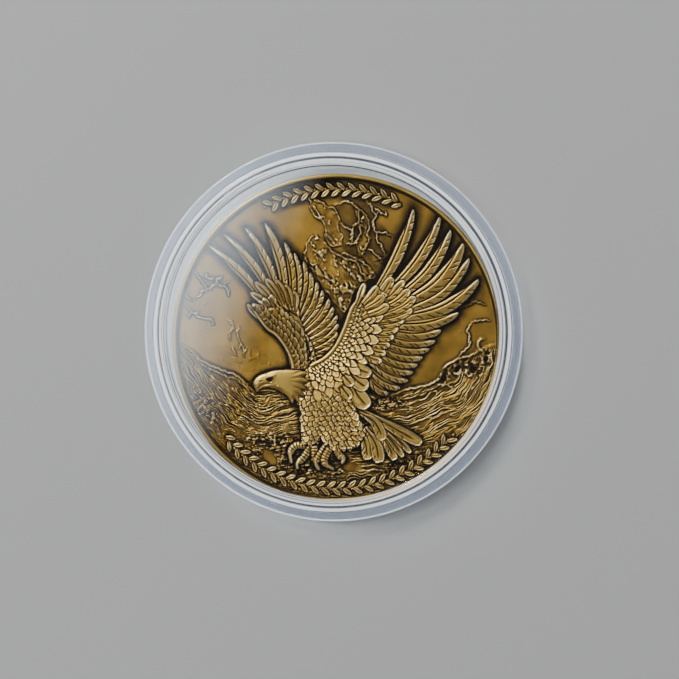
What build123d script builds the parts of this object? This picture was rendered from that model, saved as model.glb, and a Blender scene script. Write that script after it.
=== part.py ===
"""Challenge coin in a clear two-part snap capsule, in millimetres.

Origin: centre of the capsule's underside. +Z points up out of the coin's face,
+Y towards the top of its picture. Three loose pieces: the coin, the capsule's
base and the capsule's lid. The lid lifts off along +Z, then the coin lifts out.
"""
from math import cos, radians, sin
import os

from build123d import *

os.makedirs("parts", exist_ok=True)

# Coin: struck disc with a raised rim on both faces.
coin_radius = 20.0
coin_thickness = 3.0
coin_edge_round = 0.15
rim_width = 0.75
obverse_depth = 0.8
reverse_depth = 0.45
relief_root = 0.1  # how far each raised shape is sunk into the field

# Capsule: two shells of the same section that meet in a flange at mid height.
flange_radius = 23.0
flange_thickness = 0.85
flange_edge_round = 0.2
flange_root_round = 0.15
seam_round = 0.08
wall_radius = 21.8
cavity_radius = 21.2
cavity_round = 0.2
window_thickness = 0.95
guard_outer_radius = 20.95  # raised ring that keeps the window off the table
guard_inner_radius = 20.35
guard_height = 0.2
guard_slope = 0.35
guard_foot_round = 0.2
guard_round = 0.1
shoulder_drop = 0.45  # from the guard ring's top to the shoulder outside it
shoulder_round = 0.3
capsule_height = 5.8
split_height = capsule_height / 2
flange_low = split_height - flange_thickness

# Snap ring on the base's flange, in a groove of the lid's flange.
ring_inner_radius = 21.95
ring_width = 0.35
ring_height = 0.4
ring_round = 0.1
groove_clearance = 0.04
groove_headroom = 0.1

# Nail slot between the flanges, for opening the capsule.
slot_centre_angle = -40.0
slot_sweep = 25.0
slot_start = slot_centre_angle - slot_sweep / 2
slot_inner_radius = 22.45
slot_outer_radius = flange_radius + 0.5
slot_depth = 0.4

# The coin lies loose in the capsule, slid towards the slot's side.
coin_shift = 1.0
coin_shift_angle = -58.0
coin_x = coin_shift * cos(radians(coin_shift_angle))
coin_y = coin_shift * sin(radians(coin_shift_angle))
coin_z = guard_height + window_thickness  # the base window's inner face
coin_plane = Plane((coin_x, coin_y, coin_z))
field_radius = coin_radius - rim_width
obverse_field = coin_plane.offset(coin_thickness - obverse_depth)

# Eagle on the obverse, seen from above, from the coin's own centre.
# Each flight feather runs from its root to its tip.
near_primaries = [
    ((4.4, 5.6), (9.1, 15.6)),
    ((5.8, 5.6), (12.3, 14.6)),
    ((7.0, 5.2), (13.6, 13.1)),
    ((8.0, 4.6), (15.1, 11.4)),
    ((8.6, 4.0), (15.9, 9.6)),
    ((8.8, 3.3), (16.9, 7.1)),
    ((7.6, 2.3), (14.6, 3.1)),
]
near_secondaries = [
    ((6.8, 1.4), (12.5, 1.1)),
    ((6.2, 0.7), (11.8, -0.1)),
    ((5.7, 0.0), (11.1, -1.1)),
    ((5.2, -0.7), (10.3, -2.1)),
    ((4.8, -1.4), (9.7, -3.1)),
    ((4.4, -2.1), (9.2, -4.0)),
    ((4.1, -2.8), (8.6, -5.0)),
    ((3.8, -3.5), (7.6, -5.9)),
]
near_coverts = [
    ((3.2, 4.2), (5.6, 7.6)),
    ((3.8, 3.6), (7.2, 6.9)),
    ((4.0, 2.8), (8.0, 5.4)),
    ((3.8, 2.0), (8.1, 3.9)),
    ((3.5, 1.2), (7.6, 2.2)),
    ((3.1, 0.4), (6.9, 0.8)),
    ((2.7, -0.4), (6.2, -0.6)),
    ((2.3, -1.3), (5.5, -2.0)),
]
far_primaries = [
    ((-8.6, 3.4), (-15.7, 11.3)),
    ((-8.0, 4.0), (-13.8, 12.6)),
    ((-7.2, 4.4), (-11.2, 13.5)),
    ((-6.4, 4.5), (-8.8, 14.0)),
    ((-5.6, 4.3), (-6.5, 11.7)),
    ((-4.9, 3.9), (-5.2, 10.4)),
]
far_secondaries = [
    ((-4.9, 3.1), (-4.2, 9.5)),
    ((-4.8, 2.4), (-3.4, 7.7)),
    ((-4.7, 1.7), (-2.8, 6.5)),
    ((-4.5, 0.9), (-1.5, 5.2)),
    ((-4.3, 0.2), (-1.0, 4.0)),
    ((-4.0, -0.6), (-0.3, 2.9)),
    ((-3.6, -1.4), (0.0, 1.8)),
]
tail_feathers = [
    ((3.0, -8.6), (10.1, -12.3)),
    ((2.6, -9.4), (8.8, -13.7)),
    ((2.1, -10.0), (7.7, -14.4)),
    ((1.6, -10.6), (6.4, -14.6)),
    ((1.1, -11.1), (4.9, -14.7)),
]
near_arm = [
    (-4.0, -3.7),
    (-1.9, -2.8),
    (0.2, -0.2),
    (1.4, 2.6),
    (3.0, 6.4),
    (4.6, 5.9),
    (4.6, 2.4),
    (3.9, -3.0),
]
far_arm = [(-10.6, 4.3), (-7.4, 0.5), (-5.4, -3.4), (-2.6, -2.6), (-4.2, 1.8), (-7.6, 4.8)]
body = [
    (-4.0, -4.4),
    (-4.6, -8.6),
    (-4.0, -12.7),
    (-1.2, -13.6),
    (2.0, -12.8),
    (3.5, -8.4),
    (4.0, -4.2),
    (0.0, -3.2),
]
head = [
    (-9.7, -6.1),
    (-10.0, -5.0),
    (-8.4, -4.2),
    (-6.6, -3.8),
    (-4.2, -3.9),
    (-3.8, -6.0),
    (-5.2, -7.4),
    (-8.0, -5.9),
]
foot_centres = [(-4.3, -13.8), (-1.0, -14.4)]
foot_radius = 0.6
toe_angles = [200, 245, 290, 335]
toe_length = 1.7
toe_width = 0.6
toe_height = 0.5

# Relief above the field, lowest layer first: each row's feather width and height.
feather_rows = [
    (far_primaries, 1.0, 0.34),
    (far_secondaries, 1.0, 0.3),
    (tail_feathers, 1.3, 0.3),
    (near_secondaries, 1.15, 0.4),
    (near_primaries, 1.25, 0.46),
    (near_coverts, 1.3, 0.56),
]
row_step = 0.08  # every second feather of a row lies this much lower
plateaus = [(far_arm, 0.42), (near_arm, 0.6), (body, 0.64), (head, 0.7)]

# Ornament in the two arcs beside the rim: a row of small leaves in each.
ornament_radius = 17.95
leaf_length = 1.9
leaf_width = 0.72
leaf_lean = 35.0
top_arc = (67.0, 116.0, 11)
bottom_arc = (224.0, 318.0, 20)
ornament_height = 0.35

# Wreath on the reverse.
wreath_radius = 13.6
wreath_leaves = 18
wreath_leaf_length = 4.6
wreath_leaf_width = 1.7
wreath_opening = 36.0
wreath_lean = 25.0
wreath_height = 0.3


def polar(radius, angle):
    """The point at a radius and an angle in degrees."""
    return Vector(radius * cos(radians(angle)), radius * sin(radians(angle)))


def leaf(start, end, width):
    """Add a pointed leaf or feather between two points to the open sketch."""
    start = Vector(start)
    end = Vector(end)
    middle = (start + end) / 2
    side = (end - start).normalized().rotate(Axis.Z, 90) * (width / 2)
    with BuildLine() as edge:
        ThreePointArc(start, middle + side, end)
        ThreePointArc(end, middle - side, start)
    make_face(edge.edges())


def raise_row(row, width, height):
    """Raise a row of overlapping feathers out of the obverse field."""
    for first, drop in ((0, 0.0), (1, row_step)):
        with BuildSketch(obverse_field.offset(-relief_root)) as feathers:
            for start, end in row[first::2]:
                leaf(start, end, width)
        extrude(feathers.sketch, amount=relief_root + height - drop)


def raise_outline(points, height):
    """Raise a smooth closed outline out of the obverse field."""
    with BuildSketch(obverse_field.offset(-relief_root)) as plateau:
        with BuildLine():
            Spline(*points, periodic=True)
        make_face()
    extrude(plateau.sketch, amount=relief_root + height)


def ring_of_leaves(radius, length, width, angles, lean):
    """Add leaves to the open sketch at the given angles of a circle."""
    for angle in angles:
        middle = polar(radius, angle)
        half = polar(length / 2, angle + 90 - lean)
        leaf(middle - half, middle + half, width)


def spread(first, last, count):
    """Evenly spaced angles from first to last."""
    return [first + (last - first) * index / (count - 1) for index in range(count)]


with BuildPart() as coin:
    with BuildSketch(coin_plane):
        Circle(coin_radius)
    extrude(amount=coin_thickness)
    fillet(coin.edges(), coin_edge_round)
    with BuildSketch(coin_plane.offset(coin_thickness)):
        Circle(field_radius)
    extrude(amount=-obverse_depth, mode=Mode.SUBTRACT)
    with BuildSketch(coin_plane):
        Circle(field_radius)
    extrude(amount=reverse_depth, mode=Mode.SUBTRACT)

    for row, width, height in feather_rows:
        raise_row(row, width, height)
    for outline, height in plateaus:
        raise_outline(outline, height)
    with BuildSketch(obverse_field.offset(-relief_root)):
        for foot in foot_centres:
            with Locations(foot):
                Circle(foot_radius)
            for angle in toe_angles:
                leaf(foot, Vector(foot) + polar(toe_length, angle), toe_width)
    extrude(amount=relief_root + toe_height)

    with BuildSketch(obverse_field.offset(-relief_root)):
        for first, last, count in (top_arc, bottom_arc):
            angles = spread(first, last, count)
            ring_of_leaves(ornament_radius, leaf_length, leaf_width, angles, leaf_lean)
    extrude(amount=relief_root + ornament_height)

    with BuildSketch(coin_plane.offset(reverse_depth + relief_root)):
        for side in (1, -1):
            turns = spread(wreath_opening / 2, 180 - wreath_opening / 2, wreath_leaves // 2)
            angles = [side * turn - 90 for turn in turns]
            ring_of_leaves(wreath_radius, wreath_leaf_length, wreath_leaf_width, angles, side * wreath_lean)
    extrude(amount=-relief_root - wreath_height)
coin.part.label = "coin"
export_step(coin.part, "parts/coin.step")


def shell_half():
    """Add one shell, window down on z = 0, to the open part."""
    corners = [
        (guard_inner_radius - guard_slope, guard_height, guard_foot_round),
        (guard_inner_radius, 0, guard_round),
        (guard_outer_radius, 0, guard_round),
        (guard_outer_radius, shoulder_drop, guard_round),
        (wall_radius, shoulder_drop, shoulder_round),
        (wall_radius, flange_low, flange_root_round),
        (flange_radius, flange_low, flange_edge_round),
        (flange_radius, split_height, seam_round),
        (cavity_radius, split_height, 0),
        (cavity_radius, coin_z, cavity_round),
    ]
    with BuildSketch(Plane.XZ) as section:
        with BuildLine():
            points = [(radius, height) for radius, height, _ in corners]
            rounds = [corner_round for _, _, corner_round in corners]
            FilletPolyline((0, guard_height), *points, (0, coin_z), radius=rounds)
            Line((0, coin_z), (0, guard_height))
        make_face()
    revolve(section.sketch, axis=Axis.Z)


def annulus(inner_radius, outer_radius):
    """Add a flat ring to the open sketch."""
    Circle(outer_radius)
    Circle(inner_radius, mode=Mode.SUBTRACT)


with BuildPart() as capsule_base:
    shell_half()
    with BuildSketch(Plane.XY.offset(split_height)):
        annulus(ring_inner_radius, ring_inner_radius + ring_width)
    extrude(amount=ring_height)
    fillet(capsule_base.edges().group_by(Axis.Z)[-1], ring_round)
    with BuildSketch(Plane.XY.offset(split_height)):
        with BuildLine():
            inner_arc = CenterArc((0, 0), slot_inner_radius, slot_start, slot_sweep)
            outer_arc = CenterArc((0, 0), slot_outer_radius, slot_start, slot_sweep)
            Line(inner_arc @ 0, outer_arc @ 0)
            Line(inner_arc @ 1, outer_arc @ 1)
        make_face()
    extrude(amount=-slot_depth, mode=Mode.SUBTRACT)
capsule_base.part.label = "capsule_base"
export_step(capsule_base.part, "parts/capsule_base.step")

with BuildPart() as capsule_lid:
    shell_half()
    mirror(about=Plane.XY.offset(split_height), mode=Mode.REPLACE)
    with BuildSketch(Plane.XY.offset(split_height)):
        annulus(
            ring_inner_radius - groove_clearance,
            ring_inner_radius + ring_width + groove_clearance,
        )
    extrude(amount=ring_height + groove_headroom, mode=Mode.SUBTRACT)
capsule_lid.part.label = "capsule_lid"
export_step(capsule_lid.part, "parts/capsule_lid.step")
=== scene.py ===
"""Challenge coin in a clear snap capsule: the looks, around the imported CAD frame.

The coin's relief is a height field painted from back to front with numpy, in
millimetres from the coin's centre (x to the right, y to the top of the picture),
and turned into one closed mesh. The two capsule shells are lathed. Blender works
in metres, so MM turns the painted lengths into the frame's.
"""
import math

import bpy
import numpy as np
from mathutils import Matrix, Vector


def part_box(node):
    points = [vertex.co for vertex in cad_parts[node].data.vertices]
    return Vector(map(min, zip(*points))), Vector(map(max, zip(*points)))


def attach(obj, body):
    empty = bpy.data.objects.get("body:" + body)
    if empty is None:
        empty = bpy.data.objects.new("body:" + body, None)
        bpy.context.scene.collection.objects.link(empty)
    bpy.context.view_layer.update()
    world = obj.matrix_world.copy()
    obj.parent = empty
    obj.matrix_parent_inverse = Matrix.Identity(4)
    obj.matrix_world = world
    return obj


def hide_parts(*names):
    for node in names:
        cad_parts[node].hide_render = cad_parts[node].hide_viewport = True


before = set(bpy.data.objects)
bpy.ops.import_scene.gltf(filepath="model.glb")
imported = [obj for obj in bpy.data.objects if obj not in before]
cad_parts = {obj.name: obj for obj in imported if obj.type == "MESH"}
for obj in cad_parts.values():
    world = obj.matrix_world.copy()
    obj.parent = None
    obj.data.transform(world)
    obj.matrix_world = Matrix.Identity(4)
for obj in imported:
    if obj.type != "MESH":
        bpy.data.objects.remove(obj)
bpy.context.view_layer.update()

MM = 0.001

# ---------------------------------------------------------------- sizes, in mm
coin_low, coin_high = (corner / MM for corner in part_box("coin"))
base_low, base_high = (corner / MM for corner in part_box("capsule_base"))
lid_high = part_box("capsule_lid")[1] / MM

COIN_RADIUS = (coin_high.x - coin_low.x) / 2
COIN_THICKNESS = coin_high.z - coin_low.z
RIM_WIDTH = 0.75
OBVERSE_DEPTH = 0.8
REVERSE_DEPTH = 0.45
FIELD_RADIUS = COIN_RADIUS - RIM_WIDTH

OBVERSE_GRID = 561  # points along one side of the obverse's grid
REVERSE_GRID = (OBVERSE_GRID + 1) // 2


# ------------------------------------------------------------ lines and noise
LINE_STEPS = 12  # points of a smooth line from one given point to the next


def smooth_line(points, closed=False):
    """Points of a smooth (Catmull-Rom) line through the given ones."""
    points = np.array(points, float)
    if closed:
        around = np.vstack([points[-1:], points, points[:2]])
    else:
        around = np.vstack([2 * points[0] - points[1], points, 2 * points[-1] - points[-2]])
    t = np.linspace(0, 1, LINE_STEPS, endpoint=False)[:, None]
    spans = []
    for a, b, c, d in zip(around, around[1:], around[2:], around[3:]):
        square = 2 * a - 5 * b + 4 * c - d
        cube = 3 * b - a - 3 * c + d
        spans.append(0.5 * (2 * b + (c - a) * t + square * t**2 + cube * t**3))
    if not closed:
        spans.append(points[-1:])
    return np.vstack(spans)


def bowed_line(root, tip, bow):
    """A line from root to tip whose middle stands bow times its length to the left."""
    root = np.array(root, float)
    tip = np.array(tip, float)
    chord = tip - root
    left = np.array([-chord[1], chord[0]])
    return smooth_line([root, (root + tip) / 2 + bow * left, tip])


def travel(line):
    """How far along a line each of its points is."""
    return np.concatenate([[0], np.cumsum(np.linalg.norm(np.diff(line, axis=0), axis=1))])


def polar(radius, angle):
    """The point at a radius and an angle in degrees."""
    return np.array([radius * math.cos(math.radians(angle)), radius * math.sin(math.radians(angle))])


def fade(value, start, end):
    """0 at start, 1 at end, smooth between."""
    t = np.clip((value - start) / (end - start), 0, 1)
    return t * t * (3 - 2 * t)


def noise(x, y, size, seed):
    """Smooth noise from -1 to 1 whose lumps are about size wide."""
    table = np.random.default_rng(seed).uniform(-1, 1, (128, 128))
    u = x / size + 512
    v = y / size + 512
    i = np.floor(u).astype(int)
    j = np.floor(v).astype(int)
    fu = u - i
    fv = v - j
    fu = fu * fu * (3 - 2 * fu)
    fv = fv * fv * (3 - 2 * fv)
    corner = [[table[(i + a) % 128, (j + b) % 128] for b in (0, 1)] for a in (0, 1)]
    low = corner[0][0] * (1 - fu) + corner[1][0] * fu
    high = corner[0][1] * (1 - fu) + corner[1][1] * fu
    return low * (1 - fv) + high * fv


def rough(x, y, size, seed):
    """Noise of three sizes added up."""
    return sum(noise(x, y, size / 2**k, seed + k) / 1.6**k for k in range(3)) / 2


# --------------------------------------------------------------- relief canvas
CREVICE = 0.2  # width of the dark gap round a raised shape
SHAFT = 0.07  # half width of the groove along a feather's shaft
NOTCH = 0.085  # half width of a short cut across a vane
NOTCH_DEPTH = 0.12
BARB_PITCH = 0.24  # of the fine waves that run across a vane
BARB_DEPTH = 0.006
NARROW_LEAD = 0.4  # a vane with less than this share of the width belongs to a flight feather


def band_gap(along, beside, half, length):
    """How far points are from a band of a given half width along a line: 0 inside it."""
    beyond = np.maximum(np.maximum(along - 1, -along), 0) * length
    return np.hypot(np.maximum(np.abs(beside) - half, 0), beyond)


class Canvas:
    """One face of the coin, painted from back to front.

    height is above the field, stain is patina rubbed into a groove, figure says
    where raised work covers the field, pit darkens the field close to it, and
    polish is how bright the high spots may be.
    """

    def __init__(self, x, y):
        self.shape = x.shape
        self.x = x.ravel()
        self.y = y.ravel()
        self.height = np.zeros(self.x.size)
        self.stain = np.zeros(self.x.size)
        self.pit = np.zeros(self.x.size)
        self.polish = np.ones(self.x.size)
        self.figure = np.zeros(self.x.size, bool)
        self.random = np.random.default_rng(3)

    def window(self, low, high):
        """Numbers of the points in a box."""
        inside = (self.x > low[0]) & (self.x < high[0]) & (self.y > low[1]) & (self.y < high[1])
        return np.nonzero(inside)[0]

    def near(self, line, reach):
        """Points near a line: their numbers, the part of its length, the offset to its left."""
        picked = self.window(line.min(0) - reach, line.max(0) + reach)
        step = np.gradient(line, axis=0)
        step /= np.linalg.norm(step, axis=1)[:, None]
        travelled = travel(line)
        dx = self.x[picked][:, None] - line[:, 0]
        dy = self.y[picked][:, None] - line[:, 1]
        nearest = (dx**2 + dy**2).argmin(1)
        rows = np.arange(picked.size)
        dx = dx[rows, nearest]
        dy = dy[rows, nearest]
        ahead = dx * step[nearest, 0] + dy * step[nearest, 1]
        beside = step[nearest, 0] * dy - step[nearest, 1] * dx
        return picked, (travelled[nearest] + ahead) / travelled[-1], beside, travelled[-1]

    def below(self, crest):
        """1 under a line that runs from left to right, 0 above it and beside it."""
        line = smooth_line(crest)
        top = np.interp(self.x, line[:, 0], line[:, 1], left=-99, right=-99)
        return fade(top - self.y, -0.05, 0.3)

    def darken(self, picked, amount):
        """Rub patina into points, where they aren't darker already."""
        self.stain[picked] = np.maximum(self.stain[picked], amount)

    def outline(self, picked, gap, cut, pit):
        """Cut a dark crevice in the points outside a shape, and darken the field there."""
        outside = (gap > 0) & (gap < pit)
        picked = picked[outside]
        gap = gap[outside]
        edge = np.clip(1 - gap / min(CREVICE, 0.75 * pit), 0, 1)
        self.height[picked] -= cut * edge
        self.darken(picked, edge)
        self.pit[picked] = np.maximum(self.pit[picked], np.clip(1.3 - 1.3 * gap / pit, 0, 1))

    def cover(self, here, height, stain=0.0, polish=1.0):
        """Give points the height and finish of a raised shape that hides what was there."""
        self.height[here] = height
        self.stain[here] = stain
        self.polish[here] = polish
        self.figure[here] = True

    def feather(self, root, tip, width, level, bow=0.0, lead=0.5, blunt=2.0, crown=0.1, tilt=0.0,
                shaft=0.1, notches=0, pit=0.25, edge=0.0, widest=0.55, root_width=0.6, polish=1.0):
        """Lay a feather on the canvas; its leading vane is on the left of root to tip.

        lead is that vane's share of the width; blunt is how square the tip is, crown how
        much the vanes are domed, tilt how far the tip rises and edge how far the outline
        does; shaft is the depth of the groove along the middle; notches counts the cuts in
        the trailing vane; widest is where the width is full, and root_width its share of
        that at the root; pit is how far the field is darkened round it.
        """
        line = bowed_line(root, tip, bow)
        picked, along, beside, length = self.near(line, width + pit)
        t = np.clip(along, 0, 1)
        swell = root_width + (1 - root_width) * fade(t, 0, widest)
        tail = np.clip((t - widest) / (1 - widest), 0, 1)
        swell = swell * (1 - tail**blunt) ** (1 / blunt)
        leading = beside > 0
        narrow = leading & (lead < NARROW_LEAD)
        half = np.where(leading, lead, 1 - lead) * width * swell
        if lead < NARROW_LEAD:
            half = np.where(leading, half * (1 - fade(t, 0.55, 0.95)) + 0.04 * swell, half)
        gap = band_gap(along, beside, half, length)
        inside = gap == 0
        u = np.abs(beside) / np.maximum(half, 1e-6)

        surface = np.broadcast_to(level, self.x.shape)[picked] + tilt * t
        surface += crown * np.sqrt(np.clip(1 - u**2, 0, 1))
        inward = np.minimum(half - np.abs(beside), (1 - t) * length)
        surface += edge * np.exp(-(((inward - 0.08) / 0.08) ** 2)) * fade(t, 0.1, 0.5)
        surface -= 0.5 * crown * narrow
        groove = np.exp(-((beside / SHAFT) ** 2)) * (1 - fade(t, 0.75, 0.92)) * shaft
        barb = t * length - np.abs(beside) * 1.2
        start = self.random.uniform(0.1, 0.3)
        for k in range(notches):
            place = length * (start + 0.75 * (k + self.random.uniform(-0.25, 0.25)) / notches)
            inner = self.random.uniform(0.3, 0.6)
            outer = self.random.uniform(0.85, 1.1)
            cut = np.exp(-(((barb - place) / NOTCH) ** 2)) * fade(u, inner - 0.1, inner) * (u < outer)
            groove = np.maximum(groove, NOTCH_DEPTH * cut * ~leading)
        surface -= groove + BARB_DEPTH * np.sin(barb * 2 * np.pi / BARB_PITCH)

        self.outline(picked, gap, 0.1, pit)
        stain = np.clip(groove / 0.07, 0, 1)
        shine = polish * np.where(narrow, 0.5, 1)
        self.cover(picked[inside], surface[inside], stain[inside], shine[inside])

    def limb(self, points, width, level, rise, ribs=0.0, claw=1.0, pit=0.6, polish=0.8):
        """Lay a round band along a line, ribbed as far as the claw, which tapers to a point."""
        picked, along, beside, length = self.near(smooth_line(points), width + pit)
        t = np.clip(along, 0, 1)
        end = np.sqrt(1 - np.clip(7.7 * t - 6.7, 0, 1) ** 2)
        half = 0.5 * width * (1 - 0.5 * fade(t, claw, claw + 0.15)) * end
        gap = band_gap(along, beside, half, length)
        self.outline(picked, gap, 0.1, pit)
        inside = gap == 0
        u = np.abs(beside[inside]) / np.maximum(half[inside], 1e-6)
        rib = np.zeros(u.size)
        if ribs:
            rib = np.clip(2 * np.cos(2 * np.pi * t[inside] * length / ribs) - 0.9, 0, 1) * (t[inside] < claw)
        height = level + rise * np.sqrt(np.clip(1 - u**2, 0, 1)) - 0.12 * rib
        self.cover(picked[inside], height, rib, polish)

    def ridge(self, points, width, rise, over_figure=False, kinks=0.0, shade=0.6):
        """Raise a thin line that tapers at both ends, with kinks of the given size in it."""
        line = smooth_line(points)
        if kinks:
            bends = smooth_line(line[::4])[::6]
            corners = bends + self.random.uniform(-kinks, kinks, bends.shape)
            steps = (corners[1:] - corners[:-1])[:, None]
            share = np.linspace(0, 1, 6, endpoint=False)[:, None]
            line = (corners[:-1, None] + steps * share).reshape(-1, 2)
        picked, along, beside, _ = self.near(line, 2 * width)
        taper = np.clip(5 * np.minimum(along, 1 - along), 0, 1) ** 0.5
        bump = np.exp(-((beside / (0.5 * width)) ** 2)) * taper
        if not over_figure:
            bump = bump * ~self.figure[picked]
            beside = np.clip(1.6 - np.abs(beside) / width, 0, 1) * taper * (1 - bump)
            self.pit[picked] = np.maximum(self.pit[picked] * (1 - bump), shade * beside)
        self.height[picked] += rise * bump

    def depth_in(self, points, reach):
        """Points in or near a closed smooth outline: their numbers and depth inside it."""
        line = smooth_line(points, closed=True)
        loop = np.vstack([line, line[:1]])
        picked, _, _, _ = self.near(loop, reach)
        px = self.x[picked]
        py = self.y[picked]
        distance = np.full(px.size, np.inf)
        crossings = np.zeros(px.size, int)
        for (ax, ay), (bx, by) in zip(loop, loop[1:]):
            ex, ey = bx - ax, by - ay
            s = np.clip(((px - ax) * ex + (py - ay) * ey) / max(ex * ex + ey * ey, 1e-12), 0, 1)
            distance = np.minimum(distance, np.hypot(px - ax - s * ex, py - ay - s * ey))
            spans = (ay > py) != (by > py)
            rise = ey if ey else 1e-12
            crossings += spans & (px < ax + (py - ay) * ex / rise)
        return picked, np.where(crossings % 2 == 1, distance, -distance)

    def mound(self, points, level, rise, softness, pit=0.3, cut=0.1, polish=1.0):
        """Raise a smooth rounded shape with a crevice round it."""
        picked, depth = self.depth_in(points, pit + CREVICE)
        self.outline(picked, -depth, cut, pit)
        inside = depth > 0
        here = picked[inside]
        self.cover(here, level + rise * (1 - np.exp(-depth[inside] / softness)), polish=polish)
        return here, depth[inside]

    def bead(self, centre, radius, level):
        """Raise a small round berry."""
        centre = np.array(centre, float)
        picked = self.window(centre - radius - CREVICE, centre + radius + CREVICE)
        away = np.hypot(self.x[picked] - centre[0], self.y[picked] - centre[1])
        self.outline(picked, away - radius, 0.05, CREVICE)
        inside = away < radius
        here = picked[inside]
        height = level * (0.4 + 0.6 * np.sqrt(1 - (away[inside] / radius) ** 2))
        self.cover(here, height, polish=self.polish[here])


# ------------------------------------------------------- the eagle's feathers
# Flight feathers as root, tip, bow and width. The leading vane is on the left.
NEAR_PRIMARIES = [
    ((3.9, 4.6), (9.2, 15.7), -0.04, 1.25), ((5.6, 5.2), (12.4, 14.8), -0.06, 1.3),
    ((6.5, 4.6), (13.7, 13.2), -0.08, 1.3), ((7.2, 4.0), (15.2, 11.6), -0.1, 1.65),
    ((7.6, 3.4), (15.95, 9.8), -0.1, 1.35), ((7.6, 2.7), (17.1, 7.3), -0.1, 1.5),
    ((6.6, 1.9), (14.7, 3.3), -0.07, 1.3),
]
NEAR_SECONDARIES = [
    ((6.0, 1.2), (12.6, 1.2), -0.07, 1.1), ((5.6, 0.6), (11.9, -0.1), -0.07, 1.0),
    ((5.2, 0.0), (11.2, -1.1), -0.07, 1.0), ((4.8, -0.6), (10.4, -2.1), -0.07, 1.0),
    ((4.5, -1.2), (9.8, -3.0), -0.07, 1.0), ((4.2, -1.9), (9.25, -3.9), -0.07, 1.0),
    ((4.0, -2.6), (8.65, -4.9), -0.07, 1.0), ((3.8, -3.4), (7.7, -5.8), -0.08, 1.0),
    ((3.6, -4.2), (6.3, -6.5), -0.08, 1.0),
]
FAR_PRIMARIES = [
    ((-7.4, 2.4), (-15.7, 11.3), -0.05, 0.95), ((-7.1, 3.2), (-13.75, 12.6), -0.06, 0.95),
    ((-6.7, 3.8), (-11.2, 13.5), -0.05, 0.95), ((-6.2, 4.0), (-8.8, 14.0), -0.05, 1.1),
    ((-5.5, 4.0), (-6.4, 11.7), -0.05, 0.9), ((-5.0, 3.8), (-5.2, 10.4), -0.05, 0.85),
]
FAR_SECONDARIES = [
    ((-4.8, 3.4), (-4.1, 9.4), -0.06, 0.8), ((-4.7, 2.8), (-3.3, 8.0), -0.07, 0.85),
    ((-4.5, 2.2), (-2.5, 6.9), -0.07, 0.8), ((-4.3, 1.6), (-1.8, 5.9), -0.07, 0.8),
    ((-4.1, 1.0), (-1.0, 4.9), -0.07, 0.85), ((-3.9, 0.5), (-0.5, 3.9), -0.07, 0.85),
    ((-3.7, 0.0), (0.0, 2.9), -0.07, 0.85), ((-3.5, -0.6), (0.1, 1.9), -0.08, 0.85),
    ((-3.3, -1.2), (0.0, 0.9), -0.08, 0.8), ((-3.1, -1.8), (-0.5, 0.0), -0.08, 0.8),
    ((-3.3, -2.4), (-1.2, -0.8), -0.08, 0.7), ((-3.6, -3.0), (-1.8, -1.6), -0.08, 0.7),
    ((-3.9, -3.5), (-2.4, -2.3), -0.08, 0.7),
]
NEAR_COVERTS = [
    ((4.4, 4.4), (6.75, 7.5), -0.05, 1.25), ((5.0, 4.2), (8.2, 7.1), -0.05, 1.1),
    ((5.2, 3.6), (8.9, 6.0), -0.05, 1.25), ((5.4, 2.9), (9.6, 5.1), -0.05, 1.25),
    ((5.2, 2.3), (9.2, 3.6), -0.05, 1.15), ((4.8, 1.7), (8.2, 2.4), -0.05, 1.1),
    ((4.4, 1.0), (7.5, 1.3), -0.05, 1.05), ((4.1, 0.4), (7.0, 0.3), -0.05, 1.0),
    ((3.8, -0.3), (6.5, -0.7), -0.05, 1.0), ((3.5, -1.0), (6.0, -1.7), -0.05, 1.0),
    ((3.2, -1.7), (5.5, -2.7), -0.05, 1.0),
]
NEAR_WRIST = [
    ((2.4, 4.2), (3.4, 6.8), 0.0, 0.8), ((3.2, 4.3), (4.95, 6.45), -0.05, 1.05),
    ((3.5, 3.8), (5.8, 5.3), -0.05, 1.15), ((3.9, 3.0), (6.3, 4.2), -0.05, 1.15),
    ((3.2, 2.7), (4.6, 3.9), -0.05, 1.0),
]
FAR_COVERTS = [
    ((-6.9, 3.0), (-10.5, 5.6), -0.04, 0.95), ((-7.2, 3.8), (-9.9, 6.9), -0.04, 1.0),
    ((-6.6, 4.2), (-8.6, 7.3), -0.04, 1.0), ((-6.0, 4.2), (-7.4, 7.2), -0.04, 0.95),
    ((-5.5, 3.9), (-6.2, 6.6), -0.04, 0.9), ((-5.1, 3.4), (-5.1, 5.8), -0.04, 0.9),
    ((-8.2, 2.3), (-10.9, 4.25), 0.12, 0.7), ((-6.4, 2.6), (-8.6, 5.0), -0.04, 0.95),
    ((-5.8, 2.8), (-7.4, 5.1), -0.04, 0.9), ((-5.3, 2.5), (-6.3, 4.7), -0.04, 0.85),
    ((-4.8, 2.2), (-5.2, 4.2), -0.04, 0.8),
]
SCAPULARS = [
    ((0.9, -4.4), (2.0, -5.6), 0.0, 1.2), ((0.6, -5.7), (1.75, -7.2), 0.0, 1.2),
    ((1.7, -2.9), (4.2, -4.25), -0.05, 1.55), ((1.6, -4.1), (3.8, -5.9), -0.05, 1.8),
    ((2.0, -5.7), (3.85, -8.25), -0.05, 2.0),
]
TAIL = [
    ((2.6, -8.8), (5.7, -12.2), 0.14, 1.3), ((3.2, -8.7), (10.3, -12.6), 0.0, 1.35),
    ((4.9, -10.1), (9.0, -13.7), 0.03, 0.75), ((4.5, -10.3), (8.1, -14.2), 0.05, 0.8),
    ((4.1, -10.5), (7.1, -14.6), 0.08, 1.1), ((3.4, -10.7), (5.2, -14.95), 0.1, 1.5),
    ((2.8, -10.9), (3.8, -14.6), 0.06, 1.3),
]

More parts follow.
